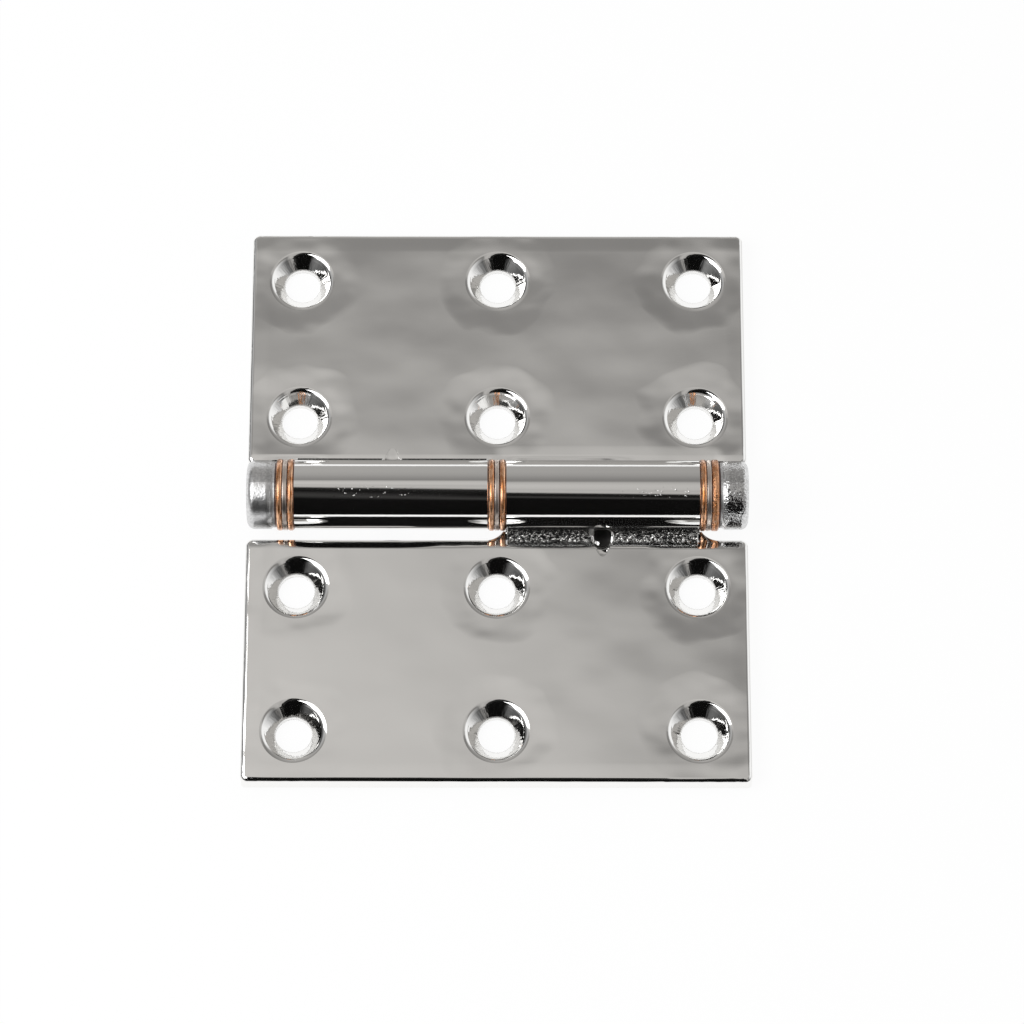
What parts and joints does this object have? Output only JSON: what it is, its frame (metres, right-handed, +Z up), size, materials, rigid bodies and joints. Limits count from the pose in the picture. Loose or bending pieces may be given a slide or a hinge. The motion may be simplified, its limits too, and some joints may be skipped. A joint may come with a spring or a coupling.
{
  "type": "friction hinge",
  "caption": "Polished cast friction hinge, open flat: two countersunk leaves on a thick barrel with bronze and steel friction washers and matte end caps.",
  "frame": {"origin": "on the surface that the open hinge lies on, under the middle of the barrel", "axes": "+X along the barrel, +Y towards the rear leaf, whose knuckle is at -X, +Z up from the leaves' backs"},
  "size_m": [0.0762, 0.0892, 0.0113],
  "materials": {
    "polished_casting": "mirror-polished cast stainless steel, rough as cast on the web",
    "turned_steel": "turned stainless steel",
    "blasted_steel": "bead-blasted matte stainless steel",
    "washer_steel": "dull stainless steel",
    "bronze": "turned bronze, copper-coloured",
    "rough_bronze": "bronze with a rough rim"
  },
  "bodies": {
    "front": {"front_leaf": "polished_casting", "front_lock_pin": "turned_steel", "hinge_pin": "turned_steel", "left_end_cap": "blasted_steel", "right_end_cap": "blasted_steel", "left_outer_bronze_washer": "bronze", "left_steel_washer": "washer_steel", "left_inner_bronze_washer": "bronze", "centre_left_bronze_washer": "bronze", "centre_steel_washer": "washer_steel", "centre_right_bronze_washer": "bronze", "right_inner_bronze_washer": "bronze", "right_steel_washer": "washer_steel", "right_outer_bronze_washer": "rough_bronze"},
    "rear": {"rear_leaf": "polished_casting", "rear_lock_pin": "turned_steel"}
  },
  "joints": [
    {"name": "leaf_fold", "type": "hinge", "parent": "front", "child": "rear", "pos_m": [0, 0, 0.0059], "axis": [1, 0, 0], "range_deg": [-88, 186]}
  ]
}
